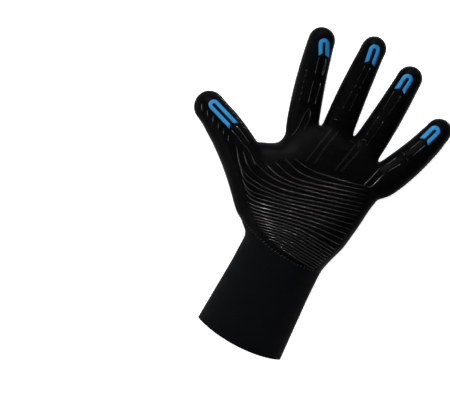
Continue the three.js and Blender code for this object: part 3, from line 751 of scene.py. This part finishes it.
RIB_COUNT = 24
RIB_WIDTH = 1.7
RIB_HEIGHT = 0.85
RIB_TAPERS = (10, 18)


def spline(knots, pieces=10):
    """A smooth polyline through knots."""
    points = []
    padded = [2 * knots[0] - knots[1], *knots, 2 * knots[-1] - knots[-2]]
    for a, b, c, d in zip(padded, padded[1:], padded[2:], padded[3:]):
        for k in range(pieces):
            t = k / pieces
            points.append(0.5 * (2 * b + (c - a) * t + (2 * a - 5 * b + 4 * c - d) * t * t
                                 + (3 * b - a - 3 * c + d) * t ** 3))
    return [*points, knots[-1]]


def rib_line(number):
    """The middle line of a rib."""
    values = [along(KEY_RIBS, number, column) for column in range(1, 11)]
    knots = [Vector((x * PALM_WIDTH, y * PALM_LENGTH)) for x, y in zip(values[::2], values[1::2])]
    return spline(knots)


grip = bmesh.new()
for k in range(RIB_COUNT):
    number = k * KEY_RIBS[-1][0] / (RIB_COUNT - 1)
    add_strip(grip, rib_line(number), RIB_WIDTH, RIB_HEIGHT, RIDGE_PROFILE, tapers=RIB_TAPERS)
finish_print("palm_grip_ribs", grip, GRIP, "palm_grip")


def digit_line(name, *spots):
    """A smooth line on a digit through spots, each a share of its length and millimetres to one side."""
    knots = [digit_point(DIGITS[name], share, aside) for share, aside in spots]
    return spline(knots, pieces=6)


LEG_PIECES = 6
TURN_PIECES = 12


def hairpin(digit, top, foot, top_aside, foot_aside, reach):
    """The middle line of a hairpin on a digit, whose closed end is towards the tip at the share top."""
    turn_at = top - reach / digit["length"]

    def leg(side):
        ends = [digit_point(digit, turn_at, top_aside + side * reach),
                digit_point(digit, foot, foot_aside + side * reach)]
        return [ends[0].lerp(ends[1], k / LEG_PIECES) for k in range(1, LEG_PIECES + 1)]

    turn = []
    for k in range(TURN_PIECES + 1):
        angle = math.pi * k / TURN_PIECES
        share = turn_at + reach * math.sin(angle) / digit["length"]
        turn.append(digit_point(digit, share, top_aside - reach * math.cos(angle)))
    return leg(-1)[::-1] + turn + leg(1)


# Blue marks: upper and lower end as shares of the digit's length, how far each end's middle lies to one side,
# and the mark's breadth and that of its legs.
MARK_COLUMNS = ("top", "foot", "top_aside", "foot_aside", "breadth", "leg")
MARK_ROWS = {
    "thumb": (0.909, 0.694, 3.5, 6.4, 9.4, 3.3),
    "index": (0.895, 0.768, 2.5, 4.9, 9.6, 3.4),
    "middle": (0.924, 0.784, 0.5, 1.9, 9.6, 3.4),
    "ring": (0.912, 0.77, -2.2, -2.8, 9.5, 3.4),
    "little": (0.885, 0.706, -3.6, -4.1, 9.3, 3.4),
}
MARKS = {name: dict(zip(MARK_COLUMNS, row)) for name, row in MARK_ROWS.items()}
MARK_NOTCH = 2.2  # how much further a leg's outer side runs than its inner side
PRINT_THICKNESS = 0.35
for name, mark in MARKS.items():
    bm = bmesh.new()
    reach = (mark["breadth"] - mark["leg"]) / 2
    line = hairpin(DIGITS[name], mark["top"] - mark["leg"] / 2 / DIGITS[name]["length"], mark["foot"],
                   mark["top_aside"], mark["foot_aside"], reach)
    add_strip(bm, line, mark["leg"], PRINT_THICKNESS, FLAT_PROFILE, slants=(MARK_NOTCH, MARK_NOTCH),
              step=0.8, tapers=(0, 0))
    finish_print(f"tip_mark_{name}_print", bm, BLUE, f"tip_mark_{name}")

# Raised lines of the digits. Each is a row of spots on the digit's own scale.
RIDGE_LINES = {
    "thumb": (
        ((0.665, 3.3), (0.57, 5), (0.45, 8), (0.36, 7.4)),
        ((0.672, 8.2), (0.6, 9.6), (0.525, 10.6)),
    ),
    "index": (
        ((0.735, 1.4), (0.66, 1.7), (0.585, 2)),
        ((0.735, 8), (0.66, 8.2), (0.585, 8.4)),
        ((0.53, 1.8), (0.43, 1.6), (0.335, 1.3)),
        ((0.53, 8.2), (0.43, 7.8), (0.335, 7.4)),
        ((0.04, -8.4), (0.12, -3.6), (0.255, 0.4), (0.29, 2.4), (0.275, 4.6), (0.2, 4.6), (0.12, 1.6)),
    ),
    "middle": (
        ((0.745, -1), (0.68, -1), (0.61, -1.4)),
        ((0.75, 3.9), (0.68, 3.7), (0.605, 3.4)),
        ((0.55, -2.2), (0.575, -0.6), (0.57, 0.4)),
        ((0.565, 2.2), (0.578, 3.6), (0.565, 4.6)),
        ((0.525, -1.8), (0.44, -2.6), (0.365, -3.4)),
        ((0.525, 3.4), (0.44, 3), (0.365, 2.4)),
        ((0.26, -7.4), (0.275, -5), (0.262, -2.6)),
    ),
    "ring": (
        ((0.735, -6.6), (0.64, -6.6), (0.55, -6.7)),
        ((0.725, 0.2), (0.64, -0.2), (0.53, -0.8)),
        ((0.49, -6.8), (0.4, -6.8), (0.3, -7)),
        ((0.475, -1.3), (0.35, -1.4), (0.22, -1.8)),
        ((0.24, -8), (0.262, -5.4), (0.24, -3)),
    ),
    "little": (
        ((0.672, -6.4), (0.62, -6.8), (0.52, -7.6)),
        ((0.67, -1.4), (0.6, -1.6), (0.5, -2)),
        ((0.44, -9.8), (0.455, -8), (0.435, -6.4)),
        ((0.43, -4), (0.445, -2.6), (0.42, -1.2)),
        ((0.38, -9), (0.3, -9.6), (0.215, -10.2)),
        ((0.37, -3.1), (0.3, -3.8), (0.205, -4.5)),
        ((0.17, -10.9), (0.05, -8.5), (-0.06, -6.2), (-0.072, -4.6)),
        ((0.17, -4.6), (0.08, -3.2), (-0.005, -1.8), (-0.055, -3.6)),
    ),
}
# Lower and flatter lines that run on from the fingers into the palm.
PALM_LINES = {
    "middle": (
        ((0.2, -5.4), (0.05, -11), (-0.125, -17.6)),
        ((0.2, 0.8), (0.05, -5), (-0.115, -9.8)),
    ),
    "ring": (
        ((0.195, -10.2), (0.04, -11.2), (-0.115, -12.2)),
        ((0.155, -4.6), (0.04, -6), (-0.09, -7.4)),
    ),
}
# Short ticks beside the mark: share and side of the first and of the last, how far they reach across the
# digit and along it, and how many there are.
TICK_ROWS = {
    "thumb": ((0.91, -5.8, 0.62, -2.7, 3.8, 5.2, 6), (0.9, 11.8, 0.63, 13.9, 1.6, -3, 8)),
    "index": ((0.6, -6.2, 0.36, -6.4, 0.8, 2.4, 6),),
}
RIDGE_WIDTH = 1.35
RIDGE_HEIGHT = 0.85
TICK_HEIGHT = 0.7 * RIDGE_HEIGHT
PALM_LINE_HEIGHT = 0.22


def add_ticks(bm, name, first, first_aside, last, last_aside, across, along_it, count):
    """A row of short raised ticks."""
    lean = along_it / 2 / DIGITS[name]["length"]
    for k in range(count):
        share = mix(first, last, k / (count - 1))
        aside = mix(first_aside, last_aside, k / (count - 1))
        ends = (share + lean, aside + across / 2), (share - lean, aside - across / 2)
        add_strip(bm, digit_line(name, *ends), RIDGE_WIDTH, TICK_HEIGHT, RIDGE_PROFILE)


for name, lines in RIDGE_LINES.items():
    ridges = bmesh.new()
    for spots in lines:
        add_strip(ridges, digit_line(name, *spots), RIDGE_WIDTH, RIDGE_HEIGHT, RIDGE_PROFILE)
    for row in TICK_ROWS.get(name, ()):
        add_ticks(ridges, name, *row)
    finish_print(f"ridges_{name}_print", ridges, GRIP, f"ridges_{name}")
for name, lines in PALM_LINES.items():
    thin = bmesh.new()
    for spots in lines:
        add_strip(thin, digit_line(name, *spots), RIDGE_WIDTH, PALM_LINE_HEIGHT, RIDGE_PROFILE)
    finish_print(f"palm_lines_{name}_print", thin, THIN_GRIP, f"ridges_{name}")

# Stripes on the back, as shares of the palm's or the cuff's width and length. The finger's have a third
# column, the share of the stripe's width.
FINGER_STRIPE = ((0.31, 0.83, 1), (0.45, 1.06, 0.85), (0.58, 1.3, 0.65), (0.66, 1.5, 0.5))
CUFF_STRIPE = ((0.22, -0.96), (0.225, -0.65), (0.215, -0.32))
BLUE_STRIPE = 3.2
BLUE_CUFF_STRIPE = 1.3 * BLUE_STRIPE
WHITE_STRIPE = 1.4
STRIPES_APART = 0.052 * PALM_WIDTH


def add_stripe(node, material, aside, width, on_finger):
    """A stripe on the finger, narrower towards its tip, or on the cuff."""
    bm = bmesh.new()
    if on_finger:
        points = [Vector((x * PALM_WIDTH + aside, y * PALM_LENGTH)) for x, y, _ in FINGER_STRIPE]
        shape = lambda share: width * mix(FINGER_STRIPE[0][2], FINGER_STRIPE[-1][2], share)
    else:
        points = [Vector((x * CUFF_WIDTH + aside, y * CUFF_LENGTH)) for x, y in CUFF_STRIPE]
        shape = width
    add_strip(bm, smoothed(points), shape, PRINT_THICKNESS, FLAT_PROFILE, palm_side=False,
              tapers=(0, 0))
    finish_print(node + "_print", bm, material, node)


add_stripe("stripe_blue_finger", BLUE, 0, BLUE_STRIPE, True)
add_stripe("stripe_white_finger", WHITE, STRIPES_APART, WHITE_STRIPE, True)
add_stripe("stripe_blue_cuff", BLUE, 0, BLUE_CUFF_STRIPE, False)
add_stripe("stripe_white_cuff", WHITE, STRIPES_APART, WHITE_STRIPE, False)

# Blind stitches over the seams

STITCH_EVERY = 3.2
STITCH_LENGTH = 2.5
STITCH_SLANT = 0.45
STITCH_LIFT = 0.02
THREAD_THICKNESS = 0.5


def seam_runs():
    """The seams between the panels as rows of vertices."""
    links = {}
    for edge in seam_edges:
        for vert in edge.verts:
            links.setdefault(vert, []).append(edge)
    used = set()
    runs = []
    starts = sorted(links, key=lambda vert: (len(links[vert]) == 2, vert.index))
    for start in starts:
        for edge in links[start]:
            if edge in used:
                continue
            run = [start]
            while edge is not None:
                used.add(edge)
                run.append(edge.other_vert(run[-1]))
                ways = [e for e in links[run[-1]] if e not in used]
                edge = ways[0] if len(links[run[-1]]) == 2 and ways else None
            runs.append(run)
    return runs


def add_stitch(bm, place, along_seam, normal):
    """One thread that lies slantwise over the seam."""
    across = normal.cross(along_seam).normalized()
    lie = (across + STITCH_SLANT * along_seam).normalized()
    side = normal.cross(lie).normalized()
    turn = Matrix((lie, side, normal)).transposed().to_4x4()
    size = Matrix.Diagonal((STITCH_LENGTH / 2, THREAD_THICKNESS / 2, THREAD_THICKNESS / 2, 1))
    spot = Matrix.Translation(place + normal * (SEAM_DEPTH + STITCH_LIFT))
    bmesh.ops.create_uvsphere(bm, u_segments=6, v_segments=5, radius=1, matrix=spot @ turn @ size)


def stitch_places(run):
    """Evenly spaced places along a seam, each with its direction and the surface's."""
    walked = 0
    for one, other in zip(run, run[1:]):
        way = other.co - one.co
        length = way.length
        while walked < length:
            share = walked / length
            normal = one.normal.lerp(other.normal, share).normalized()
            yield one.co.lerp(other.co, share), way / length, normal
            walked += STITCH_EVERY
        walked -= length


# Sewn in short lengths, since a small mesh takes a new stitch sooner than a large one.
STITCHES_AT_A_TIME = 25
skin.verts.index_update()
skin.normal_update()
places = [place for run in seam_runs() for place in stitch_places(run)]
stitches = bmesh.new()
for first in range(0, len(places), STITCHES_AT_A_TIME):
    batch = bmesh.new()
    for place in places[first:first + STITCHES_AT_A_TIME]:
        add_stitch(batch, *place)
    sewn = bpy.data.meshes.new("sewn")
    batch.to_mesh(sewn)
    batch.free()
    stitches.from_mesh(sewn)
    bpy.data.meshes.remove(sewn)
stitching = new_piece("seam_stitches", stitches, THREAD)
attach(stitching, "root")

# Floor, light and camera

FLOOR_REACH = 3000
FLOOR_DROP = 0.6  # millimetres, so that the fold lines on the back stay above the floor

floor_mesh = bmesh.new()
bmesh.ops.create_grid(floor_mesh, x_segments=1, y_segments=1, size=FLOOR_REACH)
# A light table: white acrylic, lit from below so that no shadow is deep.
light_table, _, table_shader = new_material("floor_lit_acrylic", Roughness=0.9, Emission_Strength=0.93)
table_shader.inputs["Emission Color"].default_value = srgb("#FFFFFF")
floor = new_piece("floor", floor_mesh, light_table)
floor.data.transform(Matrix.Translation((0, 0, -FLOOR_DROP * MM)))

# Metres: the camera's height, and the height at which the picture is so wide.
CAMERA_HEIGHT = 1.1
REFERENCE_HEIGHT = 0.022
FRAME_WIDTH = 0.3915
VIEW_CENTRE = Vector((-65.9, 16.3, 0))
ROLL = 27
SENSOR = 36

camera_data = bpy.data.cameras.new("camera")
camera_data.sensor_width = SENSOR
camera_data.lens = SENSOR * (CAMERA_HEIGHT - REFERENCE_HEIGHT) / FRAME_WIDTH
camera = bpy.data.objects.new("camera", camera_data)
bpy.context.scene.collection.objects.link(camera)
centre = (VIEW_CENTRE + SHIFT) * MM
camera.location = (centre.x, centre.y, CAMERA_HEIGHT)
camera.rotation_euler = (0, 0, math.radians(ROLL))
bpy.context.scene.camera = camera


def place_light(data, place, aim, power):
    data.energy = power
    light = bpy.data.objects.new(data.name, data)
    light.location = place
    light.rotation_euler = (Vector(aim) - Vector(place)).to_track_quat("-Z", "Y").to_euler()
    bpy.context.scene.collection.objects.link(light)


def softbox(name, place, size, power):
    data = bpy.data.lights.new(name, "AREA")
    data.shape = "RECTANGLE"
    data.size, data.size_y = size
    place_light(data, place, (0, 0, 0), power)


LAMP_BEAM = math.radians(1.6)
LAMP_SOFTNESS = 0.14


def snooted_lamp(name, place, aim, power):
    """A lamp whose soft round beam reaches no further than the prints it is for."""
    data = bpy.data.lights.new(name, "SPOT")
    data.spot_size = LAMP_BEAM
    data.spot_blend = 1
    data.shadow_soft_size = LAMP_SOFTNESS
    place_light(data, place, aim, power)


softbox("key_softbox", (-0.77, 0.84, 0.82), (0.8, 0.5), 4.5)
softbox("high_softbox", (-0.76, 0.97, 1.2), (0.16, 0.16), 14)
softbox("rib_softbox", (-0.15, 0.98, 0.8), (0.55, 0.12), 0.7)
softbox("left_softbox", (-1.07, -0.54, 0.75), (0.7, 0.5), 6)
softbox("fill_softbox", (0.6, -1.1, 0.6), (1, 0.5), 1.5)
snooted_lamp("left_arcs_lamp", (-0.12, 0.94, 0.8), (-0.017, 0.016, 0.04), 500)
snooted_lamp("middle_arcs_lamp", (0.08, 0.95, 0.8), (0.008, 0.026, 0.04), 420)
snooted_lamp("right_arcs_lamp", (0.28, 0.91, 0.8), (0.037, 0.032, 0.04), 300)
world = bpy.data.worlds.new("studio")
bpy.context.scene.world = world
world.use_nodes = True
background = world.node_tree.nodes["Background"]
background.inputs["Color"].default_value = (1, 1, 1, 1)
background.inputs["Strength"].default_value = 0.05
bpy.context.scene.view_settings.view_transform = "Standard"
